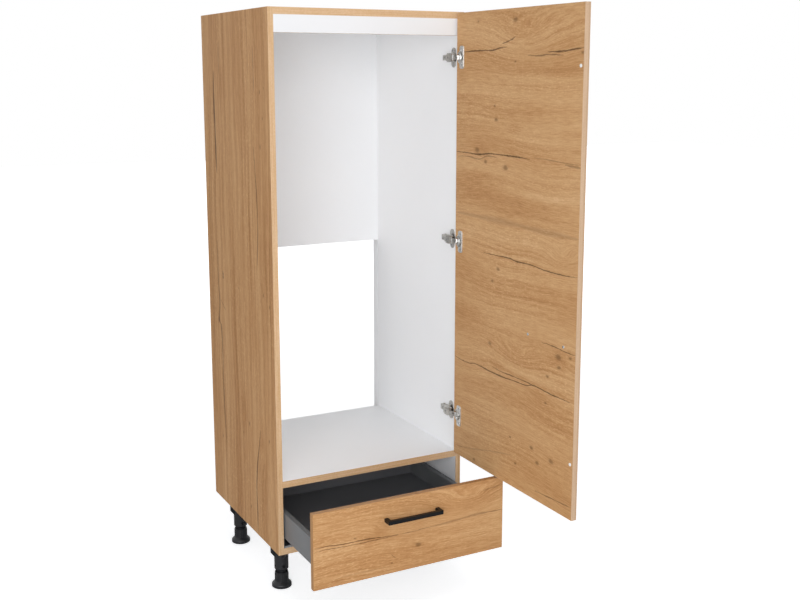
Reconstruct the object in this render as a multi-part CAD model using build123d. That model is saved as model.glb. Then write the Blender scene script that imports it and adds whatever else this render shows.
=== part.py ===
from build123d import *
import math
import os

os.makedirs("parts", exist_ok=True)

# Axes: X across the unit, Y from the open front (negative) to the back (zero), Z up from the floor.
# All sizes are millimetres. The door stands open at a right angle and the drawer is part open.
unit_width = 600.0
unit_depth = 560.0
unit_height = 1665.0
foot_height = 135.0
side_board = 16.0
shelf_board = 19.0
band = 1.0
shelf_depth = 527.0
rail_height = 47.0
niche_floor = 354.4
back_board = 3.0
back_opening_top = 937.3
groove_width = 4.0
groove_depth = 8.0
back_in_groove = 7.5

front_width = 596.0
door_bottom = 353.3
door_top = 1661.1
hinge_from_end = 124.0
closed_gap = 2.0

drawer_front_bottom = 132.6
drawer_front_top = 348.6
drawer_open = 226.0

front = -unit_depth
inner_x = unit_width / 2 - side_board
groove_front = front + shelf_depth
door_middle = (door_bottom + door_top) / 2
hinge_heights = {
    "top": door_top - hinge_from_end,
    "middle": door_middle,
    "bottom": door_bottom + hinge_from_end,
}

# Hinge linkage, in a frame of its own: u from the side panel's inner face into the unit,
# v forward out of the unit, w up from the hinge's middle. On the door, s runs from its hinge
# edge along its inner face and t from that face into the board.
closed_edge_u = -14.0
open_face_u = 12.45
open_edge_v = 10.0
outer_pin_on_door = (11.2, 3.5)
inner_pin_on_door = (9.3, 7.02)
inner_pin_on_arm = (17.61, -5.5)
inner_link_end = (17.61, -5.82)
pin_r = 1.25
pin_play = 0.05
open_eye_r = 2.8
nose_half = 7.6
nose_wall = 1.2
link_half = 6.1
link_sheet = 1.2
strap_half = 4.6
strap_sheet = 1.4

cup_r = 17.5
cup_wall = 0.8
cup_depth = 13.0
cup_from_edge = 22.0
cup_rim = 1.4
cup_flange = 3.6

# Metal-sided drawer, measured from the unit's outer left face before it is centred.
side_outer = 20.5
side_inner = 37.3
side_sheet = 1.2
side_top = 257.0
side_foot = 181.0
base_underside = 188.0
drawer_length = 493.4
drawer_back_height = 46.0
runner_centre = 52.0
runner_half = 10.85
runner_sheet = 1.2
rail_floor = 158.15
rail_channel_top = 171.85
member_channel_bottom = 174.05
rail_start = 2.0
rail_length = 488.0
middle_length = 470.0
member_length = 480.0

handle_centres = 160.0
handle_bar = 11.0
handle_reach = 29.0

foot_spots = {
    "front_left": (-260.0, -475.0),
    "front_right": (260.0, -475.0),
    "rear_left": (-260.0, -120.0),
    "rear_right": (260.0, -120.0),
}


def box(x, y, z):
    """A box from its lowest and highest corner along each axis."""
    corner = (Align.MIN, Align.MIN, Align.MIN)
    solid = Box(x[1] - x[0], y[1] - y[0], z[1] - z[0], align=corner)
    return Pos(x[0], y[0], z[0]) * solid


def rod(start, direction, radius, length):
    """A round rod from a point along a direction."""
    base = Plane(origin=start, z_dir=direction)
    return base.location * Cylinder(radius, length, align=(Align.CENTER, Align.CENTER, Align.MIN))


def save(name, solids):
    """Write one node, from one solid or a list of separate solids."""
    shape = Compound(children=list(solids)) if isinstance(solids, (list, tuple)) else solids
    shape.label = name
    export_step(shape, f"parts/{name}.step")


def mirrored(shape):
    """The same piece for the other side of the unit."""
    return mirror(shape, about=Plane.YZ)


# Carcass joints: dowels and cam fittings, hidden in the boards

dowel_r = 4.0
dowel_in_side = 10.5
dowel_length = 34.0
cam_r = 7.5
cam_depth = 13.5
cam_from_side = 34.0
bolt_r = 3.5
board_dowel_depths = (150.0, 380.0)
board_cam_depths = (30.0, 497.0)
board_floors = {
    "top": unit_height - shelf_board,
    "shelf": niche_floor - shelf_board,
    "bottom": foot_height,
}
rail_dowel_heights = (unit_height - shelf_board - 12.0, unit_height - shelf_board - 35.0)


def dowel_rods():
    rods = []
    for side in (-1, 1):
        start_x = side * (inner_x + dowel_in_side)
        for floor in board_floors.values():
            for depth in board_dowel_depths:
                start = (start_x, front + depth, floor + shelf_board / 2)
                rods.append(rod(start, (-side, 0, 0), dowel_r, dowel_length))
        for height in rail_dowel_heights:
            start = (start_x, front + side_board / 2, height)
            rods.append(rod(start, (-side, 0, 0), dowel_r, dowel_length))
    return rods


def cam_pairs():
    """Each cam disc let into a board, with the rod of the bolt that it pulls on."""
    pairs = []
    for side in (-1, 1):
        for name, floor in board_floors.items():
            for depth in board_cam_depths:
                y = front + depth
                x = side * (inner_x - cam_from_side)
                if name == "top":
                    disc = rod((x, y, unit_height), (0, 0, -1), cam_r, cam_depth)
                else:
                    disc = rod((x, y, floor), (0, 0, 1), cam_r, cam_depth)
                start = (side * (inner_x + dowel_in_side), y, floor + shelf_board / 2)
                bolt = rod(start, (-side, 0, 0), bolt_r, dowel_in_side + cam_from_side - cam_r / 2)
                pairs.append((disc, bolt))
    return pairs


# Carcass boards

def side_panel(side, cutters):
    x = sorted((side * inner_x, side * unit_width / 2))
    board = box(x, (front + band, 0), (foot_height, unit_height))
    groove_x = sorted((side * inner_x, side * (inner_x + groove_depth)))
    groove = box(groove_x, (groove_front, groove_front + groove_width), (foot_height, unit_height))
    return board - [groove, *cutters]


def flat_board(floor, cutters):
    """A horizontal board between the sides, less its front band."""
    x = (-inner_x, inner_x)
    return box(x, (front + band, groove_front), (floor, floor + shelf_board)) - cutters


def front_rail(cutters):
    top = unit_height - shelf_board
    return box((-inner_x, inner_x), (front, front + side_board), (top - rail_height, top)) - cutters


def back_panel(bottom, top):
    reach = inner_x + back_in_groove
    return box((-reach, reach), (groove_front, groove_front + back_board), (bottom, top))


def edge_bands():
    bands = []
    for side in (-1, 1):
        x = sorted((side * inner_x, side * unit_width / 2))
        bands.append(box(x, (front, front + band), (foot_height, unit_height)))
    for floor in board_floors.values():
        bands.append(box((-inner_x, inner_x), (front, front + band), (floor, floor + shelf_board)))
    return bands


# Hinge geometry

def hinge_frame(height):
    return Plane(origin=(inner_x, front, height), x_dir=(-1, 0, 0), z_dir=(0, 0, 1)).location


def closed_place(pin):
    """Where a pin of the door lies in u and v when the door is closed."""
    return (closed_edge_u + pin[0], closed_gap + pin[1])


def open_place(pin):
    """Where it lies when the door stands open at a right angle."""
    return (open_face_u - pin[1], open_edge_v + pin[0])


def arm_pivot():
    """The point on the front plane that is equally far from the outer pin, closed and open."""
    cu, cv = closed_place(outer_pin_on_door)
    ou, ov = open_place(outer_pin_on_door)
    return ((ou ** 2 + ov ** 2 - cu ** 2 - cv ** 2) / (2 * (ou - cu)), 0.0)


outer_pivot = arm_pivot()
outer_pin = open_place(outer_pin_on_door)
inner_pin = open_place(inner_pin_on_door)

plate_base = 2.2
plate_screw_v = -27.5
plate_screw_w = 17.0
wing_height = 56.7
wing_width = 23.5
spine_top = 9.5


def hinge_plate():
    """Cross-shaped mounting plate with rounded wings and a raised spine."""
    wings = Pos(plate_screw_v, 0) * SlotOverall(wing_height, wing_width, rotation=90)
    foot = Pos(-43.0, 0) * RectangleRounded(60.0, 18.0, 3.0)
    plate = extrude(Plane.YZ * (wings + foot), plate_base)
    spine = box((plate_base, spine_top), (-66.0, -36.0), (-6.2, 6.2))
    spine = fillet(spine.edges().filter_by(Axis.Z).group_by(Axis.X)[-1], 3.0)
    spine -= box((4.5, spine_top + 1), (-51.0, -45.0), (-4.2, 4.2))
    for w in (-plate_screw_w, plate_screw_w):
        plate -= rod((1.2, plate_screw_v, w), (1, 0, 0), 4.8, 2.0)
        plate -= rod((0, plate_screw_v, w), (1, 0, 0), 3.1, 3.0)
    return plate + spine


def plate_screw(u, v, w):
    """Chipboard screw with a low head: u, v, w is the underside of the head."""
    head = rod((u, v, w), (1, 0, 0), 4.8, 1.7)
    shank = rod((u, v, w), (-1, 0, 0), 3.1, 12.0)
    return head + shank


arm_screw_spots = ((-22.0, 24.7), (-58.0, 12.6))
casing_half = 12.4
casing_depths = (-41.0, -8.0)


def arm_casing():
    """Pressed cover with rounded corners, open below, that widens the front of the arm."""
    back, nose = casing_depths
    outline = Polyline((9, back), (16, back), (22, back + 9), (22, nose - 2), (20.5, nose), (9, nose), close=True)
    inside = Polyline((0, back), (14.8, back), (20.8, back + 9.4), (20.8, nose), (0, nose), close=True)
    middle = Pos((back + nose) / 2, 0)
    cover = extrude(make_face(outline), casing_half, both=True)
    cover &= extrude(Plane.YZ * middle * RectangleRounded(nose - back, 2 * casing_half, 6.0), 30)
    room = extrude(make_face(inside), casing_half, both=True)
    room &= extrude(Plane.YZ * middle * RectangleRounded(nose - back - 2.4, 2 * casing_half - 2.4, 4.8), 30)
    return cover - room


def hinge_arm():
    """Pressed U-channel: low and slotted at the back, raised at the nose, with its cover."""
    outline = Polyline(
        (plate_base, -73), (11.6, -73), (13.4, -46), (24.7, -34), (24.7, -2.4), (23.1, 0.9),
        (18.7, 0.9), (14.6, -5.5), (11, -12), (6, -31), (plate_base, -34), close=True)
    profile = make_face(outline) + Pos(*outer_pivot) * Circle(2.4)
    body = extrude(profile, nose_half, both=True) + arm_casing()
    hollow = Polyline(
        (-1, -80), (10.4, -80), (10.4, -73), (12.2, -45.5), (23.5, -33.5), (23.5, 5), (-1, 5), close=True)
    body -= extrude(make_face(hollow), nose_half - nose_wall, both=True)
    for pivot in (outer_pivot, inner_pin_on_arm):
        body -= rod((*pivot, -15), (0, 0, 1), pin_r, 30)
    for v, top in arm_screw_spots:
        body -= rod((top - 9, v, 0), (1, 0, 0), 3.4, 14)
    return body - box((8, 17), (-49.5, -46.0), (-4.2, 4.2))


def arm_screw(v, top):
    """Adjusting screw: a broad head in the arm and a thinner shank below it."""
    head = rod((top - 2.6, v, 0), (1, 0, 0), 3.3, 2.4)
    shank = rod((spine_top, v, 0), (1, 0, 0), 2.0, top - 2.6 - spine_top)
    return head + shank


def pin(place, half, start=0.0):
    """A pin along w, from start to half on one side, or right across where start is zero."""
    if start:
        return rod((*place, start), (0, 0, 1), pin_r, half - start)
    return rod((*place, -half), (0, 0, 1), pin_r, 2 * half)


def outer_link():
    """Two curved cheeks that clear the door's corner, joined by a web at the arm's end."""
    path = FilletPolyline(outer_pivot, (20.9, 11.0), (16.0, 19.6), outer_pin, radius=(7.0, 5.0))
    cheek = trace(path, line_width=3.4)
    cheek += Pos(*outer_pivot) * Circle(2.4)
    cheek += Pos(*outer_pin) * Circle(2.3)
    for place in (outer_pivot, outer_pin):
        cheek -= Pos(*place) * Circle(pin_r + pin_play)
    sheet = extrude(cheek, link_sheet)
    upper = Pos(0, 0, link_half - link_sheet) * sheet
    lower = Pos(0, 0, -link_half) * sheet
    web = box((20.7, 21.9), (3.2, 12.5), (-link_half, link_half))
    return upper + lower + web


def inner_link():
    """A goose-neck strap from a rolled eye in the cup to an open eye round the arm's rear pin."""
    bends = ((8.6, 19.0), (13.9, 19.4), (16.6, 13.2), (15.8, 4.0))
    path = FilletPolyline(inner_pin, *bends, inner_link_end, radius=(2.0, 3.4, 6.0, 10.0))
    strap = trace(path, line_width=strap_sheet)
    strap += Pos(*inner_pin) * Circle(2.1)
    strap += Pos(*inner_link_end) * Circle(open_eye_r + 0.9)
    strap -= Pos(*inner_pin) * Circle(pin_r + pin_play)
    strap -= Pos(*inner_link_end) * Circle(open_eye_r)
    link = extrude(strap, strap_half, both=True)
    link -= rod((9.9, 14.0, 0), (0.917, 0.4, 0), 1.7, 9.0)
    return link - rod((11.3, 15.0, 0), (0, 1, 0), 1.4, 7.0)


def cup_frame(height):
    """Origin on the open door's inner face at the cup's centre: x away from the hinge edge,
    y up, z out of the door."""
    origin = (inner_x - open_face_u, front - open_edge_v - cup_from_edge, height)
    return Plane(origin=origin, x_dir=(0, -1, 0), z_dir=(-1, 0, 0)).location


cup_screw_x = 9.5
cup_screw_y = 22.5
cup_screw_seat = 2.4
boss_inner = 7.6
boss_reach = -4.0


def hinge_cup():
    """Cast bowl with a thin rim, a thick flange, two bosses for the pins and notches for the links."""
    bowl = Pos(0, 0, -cup_depth / 2) * Cylinder(cup_r, cup_depth)
    bowl += extrude(Circle(cup_r + 1.2), cup_rim)
    flange = extrude(Pos(8.6, 0) * RectangleRounded(22.5, 64.0, 7.0), cup_flange)
    bowl += chamfer(flange.edges().group_by(Axis.Z)[-1], 0.5)
    cavity = Pos(0, 0, cup_wall) * Pos(0, 0, -cup_depth / 2) * Cylinder(cup_r - cup_wall, cup_depth)
    cavity += Cylinder(cup_r - cup_wall, 4 * cup_flange)
    for side in (-1, 1):
        y = sorted((side * boss_inner, side * cup_r))
        cavity -= box((-cup_r, boss_reach), y, (-cup_depth, -0.9))
    bowl -= cavity
    bowl -= box((-cup_r - 2, -14.0), (-boss_inner, boss_inner), (-3.2, 6))
    bowl -= box((8.0, cup_r + 0.1), (-8.2, 8.2), (-3.4, 6))
    for s, t in (outer_pin_on_door, inner_pin_on_door):
        bowl -= rod((s - cup_from_edge, -10.5, -t), (0, 1, 0), pin_r, 21.0)
    for y in (-cup_screw_y, cup_screw_y):
        bowl -= rod((cup_screw_x, y, -1), (0, 0, 1), 1.8, 6.0)
        bowl -= rod((cup_screw_x, y, cup_screw_seat), (0, 0, 1), 4.0, 3.0)
    return bowl


def cup_screw(y):
    head = rod((cup_screw_x, y, cup_screw_seat), (0, 0, 1), 3.7, 1.0)
    shank = rod((cup_screw_x, y, cup_screw_seat), (0, 0, -1), 1.75, 13.0)
    return head + shank


def cup_pins():
    """The inner link's pin runs right across; the outer link has a short pin on each side."""
    pins = []
    for height in hinge_heights.values():
        frame = hinge_frame(height)
        stub = pin(outer_pin, 10.5, link_half - link_sheet)
        pins.append(frame * pin(inner_pin, 10.5))
        pins.append(frame * stub)
        pins.append(frame * mirror(stub, about=Plane.XY))
    return pins


# Door

door_inner_x = inner_x - open_face_u
door_outer_x = door_inner_x + side_board
door_hinge_y = front - open_edge_v
door_free_y = door_hinge_y - front_width
door_handle_y = door_hinge_y - 463.8
door_handle_z = door_bottom + 451.5
bumper_from_edge = 11.0
bumper_from_end = 150.0


def cup_bores():
    bores = []
    for height in hinge_heights.values():
        bores.append(cup_frame(height) * (Pos(0, 0, -cup_depth / 2) * Cylinder(cup_r, cup_depth)))
    return bores


def door_panel(cutters):
    y = (door_free_y + band, door_hinge_y - band)
    z = (door_bottom + band, door_top - band)
    return box((door_inner_x, door_outer_x), y, z) - [*cutters, *cup_bores()]


def frame_band(x, y, z, hollow):
    """Edge band round all four edges of a board."""
    return box(x, y, z) - hollow


def door_band():
    x = (door_inner_x, door_outer_x)
    hollow = box((x[0] - 1, x[1] + 1), (door_free_y + band, door_hinge_y - band), (door_bottom + band, door_top - band))
    return frame_band(x, (door_free_y, door_hinge_y), (door_bottom, door_top), hollow)


def handle_bar_solid():
    """Square-section bow handle, made lying along X with its feet on Y = 0 and its bar at -Y."""
    length = handle_centres + handle_bar
    outer = Pos(0, -handle_reach / 2) * Rectangle(length, handle_reach)
    outer = fillet(outer.vertices().group_by(Axis.Y)[0], 3.0)
    gap = Pos(0, -(handle_reach - handle_bar) / 2) * Rectangle(length - 2 * handle_bar, handle_reach - handle_bar)
    gap = fillet(gap.vertices().group_by(Axis.Y)[0], 2.0)
    bow = extrude(outer - gap, handle_bar / 2, both=True)
    long_edges = bow.edges().filter_by(Axis.X)
    return fillet(long_edges, 1.0)


screw_in_handle = 12.0


def handle_screw():
    """Lies along Y with the underside of its head at the origin and its tip at -Y."""
    head = rod((0, 0, 0), (0, 1, 0), 4.2, 1.8)
    head = fillet(head.edges().sort_by(Axis.Y)[-1], 1.0)
    return head + rod((0, 0, 0), (0, -1, 0), 2.0, side_board + screw_in_handle)


def on_door(shape, along, height):
    """Turn a piece made for a front that faces -Y so that it stands on the open door."""
    return Pos(door_outer_x, along, height) * Rot(0, 0, 90) * shape


def door_handle_parts():
    screws = []
    for side in (-1, 1):
        along = door_handle_y + side * handle_centres / 2
        screws.append(Pos(-side_board, 0, 0) * on_door(handle_screw(), along, door_handle_z))
    handle = on_door(handle_bar_solid(), door_handle_y, door_handle_z)
    return handle - screws, screws


def door_bumpers():
    pads = []
    for z in (door_bottom + bumper_from_end, door_top - bumper_from_end):
        pad = rod((door_inner_x, door_free_y + bumper_from_edge, z), (-1, 0, 0), 4.5, 1.6)
        pads.append(fillet(pad.edges().sort_by(Axis.X)[0], 0.8))
    return pads


# Drawer

drawer_inner_y = front - closed_gap - drawer_open
drawer_outer_y = drawer_inner_y - side_board
drawer_rear_y = drawer_inner_y + drawer_length
base_top = base_underside + side_board
drawer_handle_z = drawer_front_top - 57.0
half_inner = unit_width / 2 - side_inner
rim_lines = (23.5, 30.4)


def from_left(x):
    """Distance from the unit's outer left face, as a place along X."""
    return x - unit_width / 2


def along_y(section, start, length):
    """A section drawn in X and Z, drawn out along Y from start towards the back."""
    placed = Plane(origin=(0, start, 0), x_dir=(1, 0, 0), z_dir=(0, -1, 0)) * section
    return extrude(placed, -length)


def drawer_side():
    """Left side: one sheet folded into a hollow wall, with a flange under the base."""
    half = side_sheet / 2
    outer = from_left(side_outer) + half
    inner = from_left(side_inner) - half
    top = side_top - half
    flange = base_underside - half
    path = FilletPolyline(
        (outer + 7, side_foot + half), (outer, side_foot + half), (outer, top), (inner, top),
        (inner, flange), (from_left(60.0), flange), radius=(1.0, 2.0, 2.0, 1.0))
    wall = along_y(trace(path, line_width=side_sheet), drawer_inner_y, drawer_length)
    for x in rim_lines:
        line_x = from_left(x)
        wall -= box((line_x - 0.6, line_x + 0.6), (drawer_inner_y - 1, drawer_rear_y + 1), (side_top - 0.7, side_top + 1))
    return wall


def drawer_member():
    """Left drawer member: a channel that opens downwards under the base."""
    return channel(member_channel_bottom, base_underside - side_sheet, drawer_inner_y + closed_gap, member_length, True)


def channel(bottom, top, start, length, upside_down):
    """C-section with returned lips; the lips are at the top unless it is upside down."""
    half = runner_sheet / 2
    left = from_left(runner_centre) - runner_half + half
    right = from_left(runner_centre) + runner_half - half
    low = bottom + half
    high = top - half
    lip, web = (low, high) if upside_down else (high, low)
    path = FilletPolyline(
        (left + 4.2, lip), (left, lip), (left, web), (right, web), (right, lip), (right - 4.2, lip), radius=0.7)
    return along_y(trace(path, line_width=runner_sheet), start, length)


rail_flange_top = 190.0
rail_screw_depths = (37.0, 261.0, 453.0)
rail_screw_height = 181.0


def runner_rail():
    """Left cabinet rail: a bracket on the side panel that carries the lower channel."""
    rail = channel(rail_floor, rail_channel_top, front + rail_start, rail_length, False)
    half = runner_sheet / 2
    wall_x = from_left(side_board) + half
    path = FilletPolyline(
        (wall_x, rail_flange_top), (wall_x, rail_floor + half),
        (from_left(runner_centre) - runner_half + half, rail_floor + half), radius=1.0)
    rail += along_y(trace(path, line_width=runner_sheet), front + rail_start, rail_length)
    for depth in rail_screw_depths:
        rail -= rod((from_left(side_board) - 1, front + depth, rail_screw_height), (1, 0, 0), 3.1, 4)
    return rail


def rail_screws():
    """Screws of both rails, low enough for the drawer side to pass."""
    screws = []
    for depth in rail_screw_depths:
        x = from_left(side_board) + runner_sheet
        head = rod((x, front + depth, rail_screw_height), (1, 0, 0), 4.8, 1.2)
        shank = rod((x, front + depth, rail_screw_height), (-1, 0, 0), 3.1, 12.0)
        screws.append(head + shank)
        screws.append(mirrored(head + shank))
    return screws


def middle_member():
    """Two square tubes joined by a neck, running in the lower and the upper channel."""
    play = 0.3
    half = runner_half - runner_sheet - play
    low = (rail_floor + runner_sheet + play, rail_channel_top - runner_sheet - play)
    high = (member_channel_bottom + runner_sheet + play, base_underside - side_sheet - runner_sheet - play)
    middle = from_left(runner_centre)
    section = Sketch()
    for z in (low, high):
        tube = Rectangle(2 * half, z[1] - z[0])
        bore = Rectangle(2 * half - 3.0, z[1] - z[0] - 3.0)
        section += Pos(middle, (z[0] + z[1]) / 2) * (tube - bore)
    neck = Rectangle(7.0, high[0] - low[1])
    section += Pos(middle, (high[0] + low[1]) / 2) * neck
    start = front + rail_start + 3.0 - drawer_open / 2
    return along_y(section, start, middle_length)


def drawer_front(cutters):
    x = (-front_width / 2 + band, front_width / 2 - band)
    z = (drawer_front_bottom + band, drawer_front_top - band)
    return box(x, (drawer_outer_y, drawer_inner_y), z) - cutters


def drawer_band():
    half = front_width / 2
    y = (drawer_outer_y, drawer_inner_y)
    z = (drawer_front_bottom, drawer_front_top)
    hollow = box((-half + band, half - band), (y[0] - 1, y[1] + 1), (z[0] + band, z[1] - band))
    return frame_band((-half, half), y, z, hollow)


def drawer_base():
    """Its lower long edges are eased to sit in the folds of the metal sides."""
    base = box((-half_inner, half_inner), (drawer_inner_y, drawer_rear_y), (base_underside, base_top))
    return chamfer(base.edges().filter_by(Axis.Y).group_by(Axis.Z)[0], 0.6)


def drawer_back():
    y = (drawer_rear_y - side_board, drawer_rear_y)
    return box((-half_inner, half_inner), y, (base_top, base_top + drawer_back_height))


def front_fixing():
    """Bracket inside the hollow front end of the left side, flat against the front."""
    x = (from_left(side_outer + side_sheet), from_left(side_inner - side_sheet))
    plate = box(x, (drawer_inner_y, drawer_inner_y + 2.0), (194.0, 250.0))
    tongue = box((x[0], x[0] + 2.0), (drawer_inner_y, drawer_inner_y + 34.0), (202.0, 242.0))
    dome = fillet((plate + tongue).edges().filter_by(Axis.X).sort_by(Axis.Y)[-2:], 6.0)
    return dome


def drawer_handle_parts():
    screws = []
    for side in (-1, 1):
        screws.append(Pos(side * handle_centres / 2, drawer_inner_y, drawer_handle_z) * handle_screw())
    handle = Pos(0, drawer_outer_y, drawer_handle_z) * handle_bar_solid()
    return handle - screws, screws


# Feet

socket_tube_r = 20.8
socket_neck_r = 13.8
spindle_r = 12.0
socket_plate = 4.0
socket_plate_size = 66.0
wing_reach = 32.5
tube_end = 56.0
neck_start = 49.0
neck_end = 12.0
sleeve_r = 19.5
sleeve_bore_r = 16.8
sleeve_top = 45.5
flare_top = 18.0
disc_edge = 9.5
disc_r = 29.25
spindle_top = 104.0
rib_count = 12
socket_screw_spots = ((16.0, -28.0), (16.0, 28.0), (-26.0, -26.0), (-26.0, 26.0))


def foot_socket():
    """Upper half of a right-hand foot, on its own axis: plate, gussets, tube, chamfer and neck."""
    outline = Polyline(
        (spindle_r + 0.1, neck_end), (socket_neck_r, neck_end), (socket_neck_r, neck_start),
        (socket_tube_r, tube_end), (socket_tube_r, foot_height), (spindle_r + 0.1, foot_height), close=True)
    body = revolve(Plane.XZ * make_face(outline), Axis.Z)
    plate = Pos(0, 0, foot_height - socket_plate) * RectangleRounded(socket_plate_size, socket_plate_size, 8.0)
    plate = extrude(plate, socket_plate) - rod((0, 0, foot_height - 10), (0, 0, 1), socket_tube_r - 2, 20)
    body += plate
    gusset_line = Polyline(
        (socket_tube_r - 2, foot_height), (wing_reach, foot_height), (wing_reach, 108.0),
        (socket_tube_r - 2, 90.0), close=True)
    gusset = extrude(Plane.XZ * make_face(gusset_line), 3.0, both=True)
    for turn in range(4):
        body += Rot(0, 0, 90 * turn) * gusset
    for turn in range(4):
        body -= Rot(0, 0, 90 * turn) * rod((14.5, 0, 68.0), (1, 0, 0), 5.0, 10)
    for x, y in socket_screw_spots:
        body -= rod((x, y, foot_height - 6), (0, 0, 1), 2.2, 8)
    return body


def foot_base():
    """Lower half of a foot: disc, flare, ribbed sleeve and the spindle that screws into the socket."""
    outline = Polyline(
        (0, 0), (disc_r - 1.2, 0), (disc_r, 1.2), (disc_r, disc_edge), (sleeve_r, flare_top), (sleeve_r, sleeve_top),
        (sleeve_bore_r, sleeve_top), (sleeve_bore_r, 10.0), (spindle_r, 10.0), (spindle_r, spindle_top),
        (0, spindle_top), close=True)
    profile = make_face(outline)
    edge = profile.vertices().sort_by_distance((disc_r, disc_edge, 0))[0]
    profile = fillet(edge, 5.0)
    body = revolve(Plane.XZ * profile, Axis.Z)
    rib = box((sleeve_r - 0.5, sleeve_r + 1.0), (-1.4, 1.4), (flare_top - 1.0, sleeve_top - 3.0))
    for turn in range(rib_count):
        body += Rot(0, 0, 360 / rib_count * turn) * rib
    return body


def foot_screws():
    screws = []
    for x, y in foot_spots.values():
        outward = math.copysign(1, x)
        for dx, dy in socket_screw_spots:
            spot = (x + outward * dx, y + dy)
            head = rod((*spot, foot_height - socket_plate - 1.6), (0, 0, 1), 4.0, 1.6)
            shank = rod((*spot, foot_height - socket_plate), (0, 0, 1), 2.2, 15.0)
            screws.append(head + shank)
    return screws


# Build and write every node

dowels = dowel_rods()
cams = []
joints = [*dowels]
for disc, bolt in cam_pairs():
    cams += [disc, bolt - disc]
    joints.append(disc + bolt)
sockets_screws = foot_screws()

arm_side_screws = []
for height in hinge_heights.values():
    for w in (-plate_screw_w, plate_screw_w):
        arm_side_screws.append(hinge_frame(height) * plate_screw(1.2, plate_screw_v, w))
plate_screws = arm_side_screws + rail_screws()

save("side_panel_left", side_panel(-1, joints + plate_screws))
save("side_panel_right", side_panel(1, joints + plate_screws))
save("top_panel", flat_board(board_floors["top"], joints))
save("niche_shelf", flat_board(board_floors["shelf"], joints))
save("bottom_panel", flat_board(board_floors["bottom"], joints + sockets_screws))
save("front_rail", front_rail(joints))
save("back_panel_upper", back_panel(back_opening_top, unit_height - 1))
save("back_panel_lower", back_panel(foot_height + 1, niche_floor - 1.4))
save("carcass_edge_bands", edge_bands())
save("dowels", dowels)
save("cam_fittings", cams)
save("plate_screws", plate_screws)
save("foot_screws", sockets_screws)

arm_pins = []
arm_screws = []
cup_screws = []
for name, height in hinge_heights.items():
    frame = hinge_frame(height)
    save(f"hinge_plate_{name}", frame * hinge_plate())
    save(f"hinge_arm_{name}", frame * hinge_arm())
    save(f"outer_link_{name}", frame * outer_link())
    save(f"inner_link_{name}", frame * inner_link())
    save(f"hinge_cup_{name}", cup_frame(height) * hinge_cup())
    arm_pins += [frame * pin(place, nose_half) for place in (outer_pivot, inner_pin_on_arm)]
    arm_screws += [frame * arm_screw(v, top) for v, top in arm_screw_spots]
    cup_screws += [cup_frame(height) * cup_screw(y) for y in (-cup_screw_y, cup_screw_y)]
save("arm_pins", arm_pins)
save("arm_screws", arm_screws)
save("hinge_cup_screws", cup_screws)
save("cup_pins", cup_pins())

door_handle, door_handle_screws = door_handle_parts()
save("door_panel", door_panel([*cup_screws, *door_handle_screws]))
save("door_edge_band", door_band())
save("door_handle", door_handle)
save("door_handle_screws", door_handle_screws)
save("door_bumpers", door_bumpers())

drawer_handle, drawer_handle_screws = drawer_handle_parts()
save("drawer_front", drawer_front(drawer_handle_screws))
save("drawer_front_band", drawer_band())
save("drawer_handle", drawer_handle)
save("drawer_handle_screws", drawer_handle_screws)
save("drawer_base", drawer_base())
save("drawer_back", drawer_back())
save("front_fixings", [front_fixing(), mirrored(front_fixing())])

for name, maker in (
    ("drawer_side", drawer_side),
    ("drawer_runner", drawer_member),
    ("runner_rail", runner_rail),
    ("runner_middle", middle_member),
):
    piece = maker()
    save(f"{name}_left", piece)
    save(f"{name}_right", mirrored(piece))

for name, (x, y) in foot_spots.items():
    socket = foot_socket() if x > 0 else mirrored(foot_socket())
    save(f"foot_socket_{name}", Pos(x, y, 0) * socket)
    save(f"foot_base_{name}", Pos(x, y, 0) * foot_base())
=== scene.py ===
import math
import bpy
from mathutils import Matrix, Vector


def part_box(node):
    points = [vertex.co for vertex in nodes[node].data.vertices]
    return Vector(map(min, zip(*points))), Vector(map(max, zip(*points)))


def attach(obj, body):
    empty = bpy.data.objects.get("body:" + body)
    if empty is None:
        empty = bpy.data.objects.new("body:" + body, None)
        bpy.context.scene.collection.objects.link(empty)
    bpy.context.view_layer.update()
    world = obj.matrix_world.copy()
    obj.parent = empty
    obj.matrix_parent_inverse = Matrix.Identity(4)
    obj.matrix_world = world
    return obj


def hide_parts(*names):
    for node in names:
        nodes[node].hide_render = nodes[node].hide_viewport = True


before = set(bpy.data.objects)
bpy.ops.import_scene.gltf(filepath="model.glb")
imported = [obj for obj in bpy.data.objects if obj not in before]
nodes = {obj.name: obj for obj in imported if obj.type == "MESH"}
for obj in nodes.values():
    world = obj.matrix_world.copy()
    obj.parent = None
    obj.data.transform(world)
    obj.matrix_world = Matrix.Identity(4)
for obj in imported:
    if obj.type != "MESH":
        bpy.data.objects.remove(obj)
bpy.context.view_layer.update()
hinges = ("top", "middle", "bottom")
feet = ("front_left", "front_right", "rear_left", "rear_right")
mm = 0.001
print("frame loaded,", len(nodes), "nodes")


# an sRGB hex code as the linear colour that a socket takes
def linear(code):
    values = []
    for i in (1, 3, 5):
        v = int(code[i:i + 2], 16) / 255
        values.append(v / 12.92 if v <= 0.04045 else ((v + 0.055) / 1.055) ** 2.4)
    return (*values, 1.0)


# an input that is a socket is linked, any other is set; out=None gives the node itself
def addNode(tree, kind, inputs=None, out=0, **settings):
    node = tree.nodes.new(kind)
    for name, value in settings.items():
        setattr(node, name, value)
    for key, value in (inputs or {}).items():
        if isinstance(value, bpy.types.NodeSocket):
            tree.links.new(value, node.inputs[key])
        else:
            node.inputs[key].default_value = value
    return node if out is None else node.outputs[out]


def newMaterial(name):
    material = bpy.data.materials.new(name)
    material.use_nodes = True
    tree = material.node_tree
    tree.nodes.clear()
    return material, tree


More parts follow.
